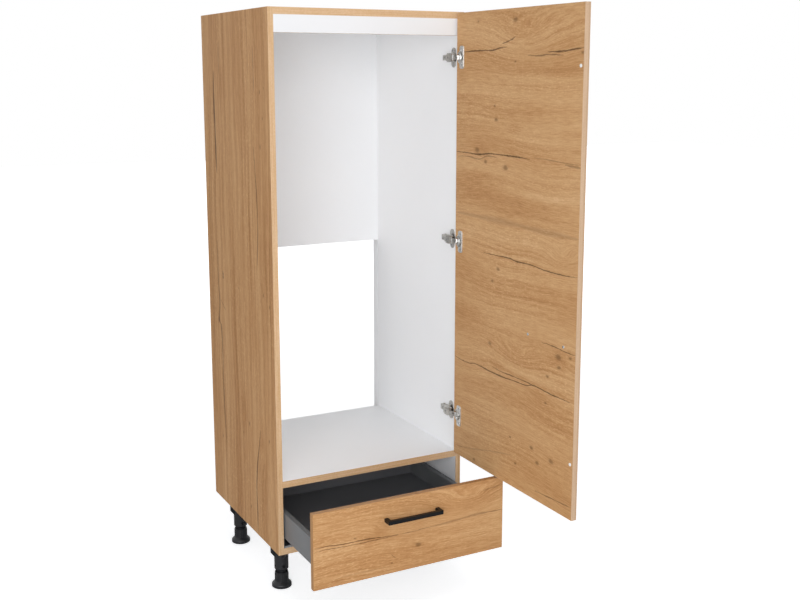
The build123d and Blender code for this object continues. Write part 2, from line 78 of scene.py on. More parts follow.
# the surface that ends a material, embossed by so many millimetres
def addSurface(tree, height, depth, strength, inputs):
    bump = addNode(tree, "ShaderNodeBump", {"Height": height, "Distance": depth * mm, "Strength": strength})
    shader = addNode(tree, "ShaderNodeBsdfPrincipled", {**inputs, "Normal": bump})
    addNode(tree, "ShaderNodeOutputMaterial", {"Surface": shader}, out=None)


def setRamp(node, stops):
    ramp = node.color_ramp
    while len(ramp.elements) > 1:
        ramp.elements.remove(ramp.elements[-1])
    for i, (place, code) in enumerate(stops):
        element = ramp.elements[0] if i == 0 else ramp.elements.new(place)
        element.position = place
        element.color = linear(code)


def setCurve(node, points):
    curve = node.mapping.curves[0]
    while len(curve.points) > 2:
        curve.points.remove(curve.points[1])
    curve.points[0].location = points[0]
    curve.points[1].location = points[-1]
    for x, y in points[1:-1]:
        curve.points.new(x, y)
    node.mapping.update()


# one finish on every slot of the named CAD nodes
def paint(material, *names):
    for name in names:
        slots = nodes[name].data.materials
        if len(slots) == 0:
            slots.append(material)
        for i in range(len(slots)):
            slots[i] = material


# The camera stands where the photograph was taken from, a little turned down in place of most of its shift.
cameraLook = {
    "place": (-1.3691, -3.3342, 1.4959),
    "yaw": 28.035,
    "tilt": 10.196,
    "lens": 49.534,
    "sensor": 36,
    "shift": (-0.0063, -0.0375),
    "clipEnd": 60,
}


def makeCamera(look):
    data = bpy.data.cameras.new("photoCamera")
    data.lens = look["lens"]
    data.sensor_width = look["sensor"]
    data.sensor_fit = "HORIZONTAL"
    data.shift_x, data.shift_y = look["shift"]
    data.clip_end = look["clipEnd"]
    camera = bpy.data.objects.new("photoCamera", data)
    camera.location = look["place"]
    camera.rotation_euler = (math.radians(90 - look["tilt"]), 0, math.radians(-look["yaw"]))
    bpy.context.scene.collection.objects.link(camera)
    bpy.context.scene.camera = camera


makeCamera(cameraLook)

studio = {
    "brightFrom": (0.25, -0.95, 0.2),  # the studio's walls are brighter on this side
    "turnRange": (-0.7, 0.75),  # how far that way a wall has to be for the least and the most light
    "wallLight": (0.30, 0.46),
    "tint": (0.975, 0.995, 1.03),  # takes out the warmth that the oak throws on the white boards
    "lamps": [
        # name, place, aimed at, width, height, watts
        ("mainBox", (-1.9, -4.7, 1.9), (0.0, -0.6, 0.9), 3.0, 2.4, 44),
        ("sideBox", (-3.0, -4.2, 1.2), (0.0, -0.6, 0.9), 3.0, 2.4, 85),
        ("frontBox", (0.6, -4.2, 2.3), (0.0, -0.6, 0.9), 2.6, 2.2, 13),
        ("topBox", (0.2, -1.6, 4.2), (0.0, -0.6, 0.8), 2.2, 2.2, 17),
    ],
    "floorSize": 30.0,
    "floorColours": ("#F1F1F1", "#F4F4F4"),
    "glowRange": (1.2, 4.5),  # metres from the middle, where the floor's glow for the camera grows
    "glow": (0.62, 1.0),
}


def makeStudio(look):
    scene = bpy.context.scene
    scene.view_settings.view_transform = "Standard"
    world = bpy.data.worlds.new("paleStudio")
    world.use_nodes = True
    tree = world.node_tree
    tree.nodes.clear()
    path = addNode(tree, "ShaderNodeLightPath", out=None)
    seen = path.outputs["Is Camera Ray"]
    for ray in ("Is Glossy Ray", "Is Transmission Ray"):
        seen = addNode(tree, "ShaderNodeMath", {0: seen, 1: path.outputs[ray]}, operation="MAXIMUM")
    toward = addNode(tree, "ShaderNodeTexCoord", out="Generated")
    toward = addNode(tree, "ShaderNodeVectorMath", {0: toward, 1: look["brightFrom"]}, out=1,
                     operation="DOT_PRODUCT")
    (start, end), (low, high) = look["turnRange"], look["wallLight"]
    level = addNode(tree, "ShaderNodeMapRange", {0: toward, 1: start, 2: end, 3: low, 4: high})
    dim = addNode(tree, "ShaderNodeBackground", {"Color": (*look["tint"], 1), "Strength": level})
    white = addNode(tree, "ShaderNodeBackground", {"Color": (1, 1, 1, 1), "Strength": 1.0})
    mixed = addNode(tree, "ShaderNodeMixShader", {0: seen, 1: dim, 2: white})
    addNode(tree, "ShaderNodeOutputWorld", {"Surface": mixed}, out=None)
    scene.world = world
    for name, place, aim, width, height, watts in look["lamps"]:
        lamp = bpy.data.lights.new(name, "AREA")
        lamp.shape = "RECTANGLE"
        lamp.size = width
        lamp.size_y = height
        lamp.energy = watts
        lamp.color = look["tint"]
        lampObject = bpy.data.objects.new(name, lamp)
        lampObject.location = place
        away = Vector(place) - Vector(aim)
        lampObject.rotation_euler = away.to_track_quat("Z", "Y").to_euler()
        scene.collection.objects.link(lampObject)

    # pale painted floor: it shows white to the camera and keeps the unit's shadow
    material, tree = newMaterial("paleFloorPaint")
    place = addNode(tree, "ShaderNodeTexCoord", out="Object")
    grit = addNode(tree, "ShaderNodeTexNoise", {"Vector": place, "Scale": 3.0, "Detail": 3.0})
    tint = addNode(tree, "ShaderNodeValToRGB", {0: grit}, out=None)
    setRamp(tint, list(zip((0.3, 0.7), look["floorColours"])))
    matt = addNode(tree, "ShaderNodeBsdfPrincipled", {"Base Color": tint.outputs[0], "Roughness": 0.9,
                                                      "Specular IOR Level": 0.1})
    path = addNode(tree, "ShaderNodeLightPath", out="Is Camera Ray")
    far = addNode(tree, "ShaderNodeVectorMath", {0: place}, out=1, operation="LENGTH")
    (start, end), (low, high) = look["glowRange"], look["glow"]
    far = addNode(tree, "ShaderNodeMapRange", {0: far, 1: start, 2: end, 3: low, 4: high},
                  interpolation_type="SMOOTHSTEP")
    lift = addNode(tree, "ShaderNodeMath", {0: path, 1: far}, operation="MULTIPLY")
    glow = addNode(tree, "ShaderNodeEmission", {"Color": (1, 1, 1, 1), "Strength": lift})
    both = addNode(tree, "ShaderNodeAddShader", {0: matt, 1: glow})
    # a view from below looks through the floor
    under = addNode(tree, "ShaderNodeNewGeometry", out="Backfacing")
    clear = addNode(tree, "ShaderNodeBsdfTransparent")
    both = addNode(tree, "ShaderNodeMixShader", {0: under, 1: both, 2: clear})
    addNode(tree, "ShaderNodeOutputMaterial", {"Surface": both}, out=None)
    half = look["floorSize"] / 2
    mesh = bpy.data.meshes.new("studioFloor")
    corners = [(-half, -half, 0), (half, -half, 0), (half, half, 0), (-half, half, 0)]
    mesh.from_pydata(corners, [], [(0, 1, 2, 3)])
    mesh.materials.append(material)
    floor = bpy.data.objects.new("studioFloor", mesh)
    scene.collection.objects.link(floor)


makeStudio(studio)
print("camera, lamps and floor made")

# Oak decor: a printed and embossed paper on chipboard. Sizes are millimetres on the board's face.
oakLook = {
    # lines that follow the flow of the grain: the space between them, and changes a metre along each
    "rings": (8.0, 1.4),
    "fibres": (2.6, 24.0),
    "pores": (1.1, 95.0),  # real pores are a quarter of this, too fine to show
    # patches: how many a metre along the grain and across it, and how far a seed moves them
    "slow": (1.7, 4.2, 1.0),
    "waves": (11.0, 34.0, 3.0),
    "broad": (1.3, 13.0, 1.7),
    "streaks": (1.6, 52.0, 3.1),
    "clear": (3.0, 9.0, 2.3),
    "flecks": (90.0, 260.0, 5.0),
    "ragged": (70.0, 160.0, 1.0),
    "slowDrift": 80.0,  # how far the grain moves sideways
    "waveDrift": 9.0,
    "otherSheet": 9.7,  # seed of the face behind, counted from the seed of the one in front
    "tones": [(0.0, "#A06F40"), (0.3, "#BA8958"), (0.5, "#C89A69"), (0.72, "#D3A878"), (1.0, "#E0B98C")],
    # what each pattern adds along those tones
    "ringTone": 0.42,
    "broadTone": 0.62,
    "fibreTone": 0.72,
    "poreTone": -0.1,
    "fleckTone": 0.2,
    "cloudTone": -0.13,
    "clarity": (0.25, 1.25),  # how clearly the rings print, from place to place
    "crack": "#4C3119",
    "crackSpread": 1.8,  # half width of a crack's soft edge for a width of 1
    "crackSwell": [(0, 0.04), (0.08, 0.5), (0.25, 0.9), (0.42, 0.62), (0.6, 1.0), (0.8, 0.6), (0.93, 0.45),
                   (1, 0.04)],
    "stain": "#94693F",
    "stainShare": 0.34,
    "coreShare": 0.42,
    "cloudSqueeze": 0.45,  # clouds and knots are longer along the grain than across it
    "knotSqueeze": 0.6,
    "roughness": (0.50, 0.62),
    "crackRelief": -1.4,  # against the height of a fibre
    "poreRelief": -0.5,
}

# Axes are numbers. The grain runs along one, and through is the one from face to face, with the board's middle
# there in metres: the marks are measured on the face before it, or with a sign of -1 on the face beyond it.
# low and high are the edges across the grain. Cracks are (along, across) points with a width and a depth, knots
# and dull clouds are (along, across, radius), and hearts are (along, across, length, width). A raw edge is an
# axis, a place in metres and whether it lies beyond that.
sideSheet = {
    # lift shifts a face's whole tone; the sides' -0.13 is painted shade, the same oak decor made darker in
    # place of less light on them
    "along": 2, "across": 1, "through": 0, "low": -559, "high": 0, "streaks": 0.8, "lift": -0.13,
    "inside": "#F9F9F9", "rawEdges": [(1, -0.0003, True), (2, 1.6647, True), (2, 0.1353, False)],
}

leftSide = {
    **sideSheet, "name": "oakDecorLeftSide", "middle": -0.292, "sign": 1, "seed": 3.0,
    "cracks": [
        ([(1500, -102), (1413, -99), (1339, -102), (1257, -104), (1191, -107)], 6.5, 0.85),
        ([(1583, -153), (1530, -152), (1488, -153)], 3.4, 0.4),
        ([(986, -90), (919, -92), (855, -92), (793, -99), (735, -90), (720, -107), (647, -113), (551, -113),
          (462, -115), (394, -121), (333, -127)], 4.4, 0.7),
        ([(896, -136), (883, -138), (870, -138)], 5.1, 0.7),
        ([(802, -107), (788, -132), (774, -153)], 3.7, 0.5),
        ([(1293, -432), (1202, -442), (1160, -447), (1080, -451), (1025, -447), (943, -437)], 3.4, 0.7),
        ([(1561, -442), (1500, -443), (1439, -444)], 2.8, 0.5),
        ([(474, -435), (416, -420), (368, -405), (326, -397), (270, -391), (216, -394),
          (138, -391)], 3.9, 0.85),
    ],
    "knots": [(1443, -489, 3.5), (1453, -519, 2.6), (1372, -507, 3), (1294, -484, 4), (880, -482, 3.5),
              (855, -530, 3.5), (865, -277, 2.6), (733, -88, 7), (466, -342, 4.5), (354, -93, 3),
              (424, -288, 2.6), (458, -504, 3.4), (205, -339, 3)],
    "clouds": [(1466, -170, 40), (500, -300, 45)],
    "hearts": [(440, -458, 95, 22)],
}

rightSide = {
    **sideSheet, "name": "oakDecorRightSide", "middle": 0.292, "sign": -1, "seed": 11.0,
    "cracks": [
        ([(1610, -410), (1490, -418), (1380, -413), (1300, -420)], 1.7, 0.7),
        ([(1010, -205), (900, -200), (780, -214), (690, -209), (600, -218)], 1.9, 0.8),
        ([(520, -330), (430, -338), (330, -334), (250, -342)], 1.5, 0.6),
    ],
    "knots": [(1270, -300, 5), (1120, -120, 4), (905, -380, 6), (640, -480, 4), (410, -150, 5),
              (300, -420, 3)],
    "clouds": [(1200, -350, 60), (560, -260, 50)],
    "hearts": [(820, -300, 150, 40)],
}

doorFace = {
    "name": "oakDecorDoor", "along": 1, "across": 2, "through": 0, "middle": 0.27955, "sign": 1,
    "low": 353.3, "high": 1661.1, "seed": 7.0, "streaks": 0.25, "lift": 0.0,
    "cracks": [
        ([(-573, 1553), (-619, 1552), (-673, 1554), (-725, 1554), (-753, 1554), (-784, 1558),
          (-829, 1562)], 2.2, 0.85),
        ([(-807, 1571), (-838, 1577), (-859, 1583), (-870, 1590)], 2.2, 0.75),
        ([(-1015, 1546), (-1065, 1546), (-1121, 1550), (-1166, 1554)], 2.4, 0.9),
        ([(-927, 1539), (-988, 1537), (-1011, 1539), (-1084, 1536)], 2.0, 0.65),
        ([(-570, 1269), (-634, 1269), (-682, 1268), (-720, 1271), (-766, 1274), (-820, 1274), (-864, 1274),
          (-906, 1273), (-949, 1271)], 2.3, 0.95),
        ([(-579, 1253), (-634, 1259), (-692, 1255), (-748, 1267), (-793, 1259)], 2.0, 0.5),
        ([(-964, 1277), (-1046, 1275), (-1110, 1272), (-1166, 1272)], 1.6, 0.4),
        ([(-1100, 1268), (-1140, 1266), (-1166, 1265)], 3.4, 0.45),
        ([(-725, 993), (-802, 995), (-864, 996), (-889, 993), (-947, 994), (-996, 991), (-1046, 989),
          (-1095, 989), (-1139, 991), (-1166, 993)], 1.9, 0.9),
        ([(-1017, 796), (-1065, 797), (-1099, 795), (-1132, 793), (-1166, 793)], 1.6, 0.8),
        ([(-570, 663), (-634, 653), (-701, 660), (-757, 657), (-820, 656), (-885, 659), (-947, 661),
          (-966, 666), (-996, 670), (-1043, 667), (-1096, 666), (-1152, 666)], 2.0, 0.9),
        ([(-780, 676), (-838, 670), (-889, 671), (-947, 671), (-1004, 669)], 1.7, 0.8),
        ([(-1000, 379), (-1039, 381), (-1104, 385), (-1166, 389)], 1.5, 0.7),
        ([(-588, 380), (-680, 398), (-771, 420), (-890, 444)], 2.6, 0.25),
        ([(-579, 1092), (-820, 1093), (-1027, 1089), (-1166, 1089)], 9.0, 0.22),
    ],
    "knots": [(-684, 1634, 3), (-868, 1631, 6.5), (-870, 1523, 3), (-1161, 1543, 4), (-782, 1369, 5),
              (-773, 1405, 3), (-685, 1280, 7), (-729, 1250, 5), (-831, 1241, 7), (-802, 958, 4.5),
              (-774, 920, 4.5), (-765, 738, 5), (-1093, 773, 8), (-1096, 746, 5), (-1144, 781, 4),
              (-1047, 711, 4), (-981, 494, 5), (-1009, 460, 5), (-1072, 485, 6.5), (-903, 426, 3.5),
              (-687, 368, 3.5), (-1041, 636, 3.5), (-876, 494, 3)],
    "clouds": [(-874, 1352, 26), (-1093, 770, 34), (-800, 690, 30), (-690, 1180, 70), (-620, 780, 80),
               (-700, 1285, 30), (-1010, 640, 40)],
    "hearts": [(-894, 1580, 190, 60), (-745, 1252, 60, 18), (-1103, 1035, 60, 30), (-900, 730, 110, 40)],
}

drawerFace = {
    "name": "oakDecorDrawer", "along": 0, "across": 2, "through": 1, "middle": -0.796, "sign": 1,
    # its lift of -0.12 is painted shade: the same oak decor as the door, made darker in place of less light
    "low": 132.6, "high": 348.6, "seed": 19.0, "streaks": 0.2, "lift": -0.12,
    "cracks": [
        ([(-297, 238), (-266, 243), (-215, 241), (-161, 240), (-120, 240), (-80, 240), (-41, 240)], 1.2, 0.75),
        ([(-294, 248), (-266, 252), (-215, 248), (-161, 248), (-132, 247), (-80, 243), (-41, 241)], 1.5, 0.9),
        ([(-41, 241), (0, 241), (43, 243), (85, 243)], 1.2, 0.55),
        ([(60, 243), (150, 247), (215, 251), (270, 250), (297, 249)], 3.5, 0.35),
        ([(215, 251), (260, 250), (297, 249)], 2.0, 0.5),
        ([(-65, 187), (-57, 180), (-50, 174)], 1.6, 0.5),
        ([(230, 318), (283, 324), (297, 325)], 2.6, 0.3),
        ([(-240, 152), (-160, 155), (-60, 153)], 1.6, 0.2),
    ],
    "knots": [(20, 199, 6), (-175, 257, 2.5), (-63, 162, 2.5)],
    "clouds": [(-95, 256, 26), (-130, 236, 26), (20, 199, 20)],
    "hearts": [(-50, 262, 90, 20), (180, 300, 120, 40)],
}


# an edge with no band shows the chipboard: pale chips in a darker glue, 1 to 3 mm across
def rawEdges(tree, place, xyz, colour, edges):
    if not edges:
        return colour
    chips = addNode(tree, "ShaderNodeTexVoronoi", {"Vector": place, "Scale": 420.0, "Randomness": 1.0},
                    out="Color")
    chips = addNode(tree, "ShaderNodeSeparateXYZ", {0: chips})
    dust = addNode(tree, "ShaderNodeTexNoise", {"Vector": place, "Scale": 1400.0, "Detail": 2.0})
    chips = addNode(tree, "ShaderNodeMath", {0: dust, 1: 0.5, 2: chips}, operation="MULTIPLY_ADD")
    ramp = addNode(tree, "ShaderNodeValToRGB", {0: chips}, out=None)
    setRamp(ramp, [(0.15, "#9C7B55"), (0.5, "#BC9A6E"), (0.85, "#D3B68B"), (1.0, "#B08A5C")])
    mask = 0.0
    for axis, value, above in edges:
        edge = addNode(tree, "ShaderNodeMath", {0: xyz[axis], 1: value},
                       operation="GREATER_THAN" if above else "LESS_THAN")
        mask = addNode(tree, "ShaderNodeMath", {0: mask, 1: edge}, operation="MAXIMUM")
    return addNode(tree, "ShaderNodeMix", {0: mask, 6: colour, 7: ramp.outputs[0]}, out=2, data_type="RGBA")


# soft patches, longer along the grain than across it
def grainPatches(tree, along, across, seed, patches, detail, roughness=0.5):
    place = addNode(tree, "ShaderNodeCombineXYZ", {0: along, 1: across, 2: seed})
    place = addNode(tree, "ShaderNodeVectorMath", {0: place, 1: patches}, operation="MULTIPLY")
    return addNode(tree, "ShaderNodeTexNoise", {"Vector": place, "Scale": 1.0, "Detail": detail,
                                                "Roughness": roughness})


# fine lines that follow the flow of the grain
def grainLines(tree, flow, along, seed, lines, detail, roughness=0.5):
    space, changes = lines
    line = addNode(tree, "ShaderNodeMath", {0: flow, 1: 1000 / space}, operation="MULTIPLY")
    drift = addNode(tree, "ShaderNodeMath", {0: along, 1: changes, 2: seed}, operation="MULTIPLY_ADD")
    place = addNode(tree, "ShaderNodeCombineXYZ", {0: line, 1: drift})
    return addNode(tree, "ShaderNodeTexNoise", {"Vector": place, "Scale": 1.0, "Detail": detail,
                                                "Roughness": roughness}, noise_dimensions="2D")


# a printed crack: a given line whose width comes and goes
def crackLine(tree, along, across, points, width, look):
    points = sorted(points)
    first, last = points[0][0], points[-1][0]
    lowest = min(c for a, c in points) - 1
    highest = max(c for a, c in points) + 1
    share = addNode(tree, "ShaderNodeMapRange", {0: along, 1: first * mm, 2: last * mm, 3: 0.0, 4: 1.0})
    line = addNode(tree, "ShaderNodeFloatCurve", {"Value": share}, out=None)
    setCurve(line, [((a - first) / (last - first), (c - lowest) / (highest - lowest)) for a, c in points])
    line = addNode(tree, "ShaderNodeMapRange", {0: line.outputs[0], 1: 0.0, 2: 1.0, 3: lowest * mm,
                                                4: highest * mm})
    swell = addNode(tree, "ShaderNodeFloatCurve", {"Value": share}, out=None)
    setCurve(swell, look["crackSwell"])
    swell = addNode(tree, "ShaderNodeMath", {0: swell.outputs[0], 1: width * look["crackSpread"] * mm},
                    operation="MULTIPLY")
    gap = addNode(tree, "ShaderNodeMath", {0: across, 1: line}, operation="SUBTRACT")
    gap = addNode(tree, "ShaderNodeMath", {0: gap}, operation="ABSOLUTE")
    shade = addNode(tree, "ShaderNodeMapRange", {0: gap, 1: 0.0, 2: swell, 3: 1.0, 4: 0.0},
                    interpolation_type="SMOOTHSTEP")
    middle, half = (first + last) / 2 * mm, (last - first) / 2 * mm
    between = addNode(tree, "ShaderNodeMath", {0: along, 1: middle, 2: half}, operation="COMPARE")
    return addNode(tree, "ShaderNodeMath", {0: shade, 1: between}, operation="MULTIPLY")


def oakDecor(face, look):
    material, tree = newMaterial(face["name"])
    place = addNode(tree, "ShaderNodeTexCoord", out="Object")
    xyz = addNode(tree, "ShaderNodeSeparateXYZ", {0: place}, out=None).outputs
    along, across, through = xyz[face["along"]], xyz[face["across"]], xyz[face["through"]]

    # the sheet on the other face is printed the other way up
    sideAway = addNode(tree, "ShaderNodeMath", {0: through, 1: face["middle"]}, operation="GREATER_THAN")
    if face["sign"] < 0:
        sideAway = addNode(tree, "ShaderNodeMath", {0: 1.0, 1: sideAway}, operation="SUBTRACT")
    total = (face["low"] + face["high"]) * mm
    flipped = addNode(tree, "ShaderNodeMath", {0: total, 1: across}, operation="SUBTRACT")
    across = addNode(tree, "ShaderNodeMix", {"Factor": sideAway, "A": across, "B": flipped})
    seed = addNode(tree, "ShaderNodeMath", {0: sideAway, 1: look["otherSheet"], 2: face["seed"]},
                   operation="MULTIPLY_ADD")

    # slow wander of the grain, then its smaller waves
    slow = grainPatches(tree, along, across, seed, look["slow"], 1.5, 0.45)
    flow = addNode(tree, "ShaderNodeMath", {0: slow, 1: look["slowDrift"] * mm, 2: across},
                   operation="MULTIPLY_ADD")
    waves = grainPatches(tree, along, across, seed, look["waves"], 1.0)
    flow = addNode(tree, "ShaderNodeMath", {0: waves, 1: look["waveDrift"] * mm, 2: flow},
                   operation="MULTIPLY_ADD")

    # hearts: the rings close round them in long ovals
    for a, c, long, wide in face["hearts"]:
        da = addNode(tree, "ShaderNodeMath", {0: along, 1: a * mm}, operation="SUBTRACT")
        da = addNode(tree, "ShaderNodeMath", {0: da, 1: long * mm}, operation="DIVIDE")
        dc = addNode(tree, "ShaderNodeMath", {0: across, 1: c * mm}, operation="SUBTRACT")
        dc = addNode(tree, "ShaderNodeMath", {0: dc, 1: wide * mm}, operation="DIVIDE")
        square = addNode(tree, "ShaderNodeMath", {0: dc, 1: dc}, operation="MULTIPLY")
        square = addNode(tree, "ShaderNodeMath", {0: da, 1: da, 2: square}, operation="MULTIPLY_ADD")
        bell = addNode(tree, "ShaderNodeMath", {0: square, 1: -1.0}, operation="MULTIPLY")
        bell = addNode(tree, "ShaderNodeMath", {0: bell}, operation="EXPONENT")
        flow = addNode(tree, "ShaderNodeMath", {0: bell, 1: wide * mm, 2: flow}, operation="MULTIPLY_ADD")

    # year rings, fibres and pores all follow that flow
    rings = grainLines(tree, flow, along, seed, look["rings"], 1.0, 0.4)
    fibres = grainLines(tree, flow, along, seed, look["fibres"], 3.0, 0.6)
    pores = grainLines(tree, flow, along, seed, look["pores"], 1.0)
    pores = addNode(tree, "ShaderNodeMapRange", {0: pores, 1: 0.30, 2: 0.42, 3: 1.0, 4: 0.0})
    broad = grainPatches(tree, along, flow, seed, look["broad"], 2.0)
    streaks = grainPatches(tree, along, flow, seed, look["streaks"], 2.0)

    # where on the oak's tones a place lies
    clear = grainPatches(tree, along, across, seed, look["clear"], 0.0)
    faintest, clearest = look["clarity"]
    clear = addNode(tree, "ShaderNodeMapRange", {0: clear, 1: 0.35, 2: 0.65, 3: faintest, 4: clearest})
    ringTone = addNode(tree, "ShaderNodeMath", {0: rings, 1: 0.5}, operation="SUBTRACT")
    ringTone = addNode(tree, "ShaderNodeMath", {0: ringTone, 1: clear}, operation="MULTIPLY")
    # the face's lift shifts every tone here; where it is below zero it is painted shade
    tone = addNode(tree, "ShaderNodeMath", {0: ringTone, 1: look["ringTone"], 2: 0.5 + face["lift"]},
                   operation="MULTIPLY_ADD")
    for pattern, strength in ((broad, look["broadTone"]), (fibres, look["fibreTone"]),
                              (streaks, face["streaks"])):
        change = addNode(tree, "ShaderNodeMath", {0: pattern, 1: 0.5}, operation="SUBTRACT")
        tone = addNode(tree, "ShaderNodeMath", {0: change, 1: strength, 2: tone}, operation="MULTIPLY_ADD")
    tone = addNode(tree, "ShaderNodeMath", {0: pores, 1: look["poreTone"], 2: tone}, operation="MULTIPLY_ADD")

    # soft flecks where the quarter figure shows, and dull clouds
    flecks = grainPatches(tree, along, across, seed, look["flecks"], 1.0)
    flecks = addNode(tree, "ShaderNodeMapRange", {0: flecks, 1: 0.52, 2: 0.72, 3: 0.0, 4: look["fleckTone"]})
    flecks = addNode(tree, "ShaderNodeMath", {0: flecks, 1: clear}, operation="MULTIPLY")
    tone = addNode(tree, "ShaderNodeMath", {0: tone, 1: flecks}, operation="ADD")
    squeeze = look["cloudSqueeze"]
    point = addNode(tree, "ShaderNodeCombineXYZ", {0: along, 1: across})
    point = addNode(tree, "ShaderNodeVectorMath", {0: point, 1: (squeeze, 1.0, 0.0)}, operation="MULTIPLY")
    for a, c, radius in face["clouds"]:
        away = addNode(tree, "ShaderNodeVectorMath", {0: point, 1: (a * squeeze * mm, c * mm, 0.0)}, out=1,
                       operation="DISTANCE")
        dull = addNode(tree, "ShaderNodeMapRange", {0: away, 1: 0.0, 2: radius * mm, 3: look["cloudTone"],
                                                    4: 0.0}, interpolation_type="SMOOTHSTEP")
        tone = addNode(tree, "ShaderNodeMath", {0: tone, 1: dull}, operation="ADD")
    ramp = addNode(tree, "ShaderNodeValToRGB", {0: tone}, out=None)
    setRamp(ramp, look["tones"])
    colour = ramp.outputs[0]

    # knots: a dark core in a stained rim
    ragged = grainPatches(tree, along, across, seed, look["ragged"], 2.0)
    push = addNode(tree, "ShaderNodeMath", {0: ragged, 1: 6 * mm, 2: -3 * mm}, operation="MULTIPLY_ADD")
    squeeze = look["knotSqueeze"]
    point = addNode(tree, "ShaderNodeCombineXYZ", {0: along, 1: across})
    point = addNode(tree, "ShaderNodeVectorMath", {0: point, 1: (squeeze, 1.0, 0.0)}, operation="MULTIPLY")
    stained = 0.0
    for a, c, radius in face["knots"]:
        away = addNode(tree, "ShaderNodeVectorMath", {0: point, 1: (a * squeeze * mm, c * mm, 0.0)}, out=1,
                       operation="DISTANCE")
        away = addNode(tree, "ShaderNodeMath", {0: away, 1: push}, operation="ADD")
        near = addNode(tree, "ShaderNodeMapRange", {0: away, 1: radius * 0.3 * mm, 2: radius * 2 * mm, 3: 1.0,
                                                    4: 0.0}, interpolation_type="SMOOTHSTEP")
        stained = addNode(tree, "ShaderNodeMath", {0: stained, 1: near}, operation="MAXIMUM")
    core = addNode(tree, "ShaderNodeMapRange", {0: stained, 1: 0.55, 2: 1.0, 3: 0.0, 4: look["coreShare"]})
    stained = addNode(tree, "ShaderNodeMath", {0: stained, 1: look["stainShare"]}, operation="MULTIPLY")

    # cracks, a little ragged
    ragAcross = addNode(tree, "ShaderNodeMath", {0: ragged, 1: 4 * mm, 2: across}, operation="MULTIPLY_ADD")
    ragAcross = addNode(tree, "ShaderNodeMath", {0: ragAcross, 1: 2 * mm}, operation="SUBTRACT")
    cracks = 0.0
    for points, width, depth in face["cracks"]:
        line = crackLine(tree, along, ragAcross, points, width, look)
        line = addNode(tree, "ShaderNodeMath", {0: line, 1: depth}, operation="MULTIPLY")
        cracks = addNode(tree, "ShaderNodeMath", {0: cracks, 1: line}, operation="MAXIMUM")
    for mask, code in ((stained, look["stain"]), (core, look["crack"]), (cracks, look["crack"])):
        colour = addNode(tree, "ShaderNodeMix", {0: mask, 6: colour, 7: linear(code)}, out=2, data_type="RGBA")

    # the inner face of a side is white
    if "inside" in face:
        pearl = addNode(tree, "ShaderNodeTexNoise", {"Vector": place, "Scale": 900.0, "Detail": 1.0})
        pearl = addNode(tree, "ShaderNodeMix", {0: pearl, 6: linear(face["inside"]), 7: linear("#FDFDFD")},
                        out=2, data_type="RGBA")
        colour = addNode(tree, "ShaderNodeMix", {0: sideAway, 6: colour, 7: pearl}, out=2, data_type="RGBA")
    colour = rawEdges(tree, place, xyz, colour, face.get("rawEdges", ()))
    smoothest, roughest = look["roughness"]
    rough = addNode(tree, "ShaderNodeMapRange", {0: fibres, 1: 0.2, 2: 0.8, 3: smoothest, 4: roughest})
    height = addNode(tree, "ShaderNodeMath", {0: cracks, 1: look["crackRelief"], 2: fibres},
                     operation="MULTIPLY_ADD")
    height = addNode(tree, "ShaderNodeMath", {0: pores, 1: look["poreRelief"], 2: height},
                     operation="MULTIPLY_ADD")
    addSurface(tree, height, 0.3, 0.5, {"Base Color": colour, "Roughness": rough, "Specular IOR Level": 0.2})
    return material


paint(oakDecor(leftSide, oakLook), "side_panel_left")
paint(oakDecor(rightSide, oakLook), "side_panel_right")
paint(oakDecor(doorFace, oakLook), "door_panel")
paint(oakDecor(drawerFace, oakLook), "drawer_front")
print("oak decor painted")


# Edge bands: 1 mm ABS, printed with fine straight oak grain that follows each edge. It runs along the axis
# endGrain beyond turnAt from the band's middle on turnAxis, and along midGrain before it. A darker stripe
# begins at stripeFrom on stripeAxis, measured from the middle too; on the carcass it is painted shade beside
# the open door.
bandLooks = {
    "carcass_edge_bands": {
        "turnAxis": 0, "turnAt": 0.284, "midGrain": 0, "endGrain": 2, "dark": "#C69C6B", "light": "#D9B893",
        # its stripe is painted shade on the right side's front edge, beside the open door
        "stripeAxis": 0, "stripeFrom": 0.2925, "stripeTone": -0.35,
    },
    "door_edge_band": {
        "turnAxis": 2, "turnAt": 0.6528, "midGrain": 2, "endGrain": 1, "dark": "#BF9D7D", "light": "#D2B393",
        "stripeAxis": 0, "stripeFrom": 0.0030, "stripeTone": -0.6,
    },
    "drawer_front_band": {
        "turnAxis": 0, "turnAt": 0.297, "midGrain": 0, "endGrain": 2, "dark": "#A67645", "light": "#B98A58",
    },
}


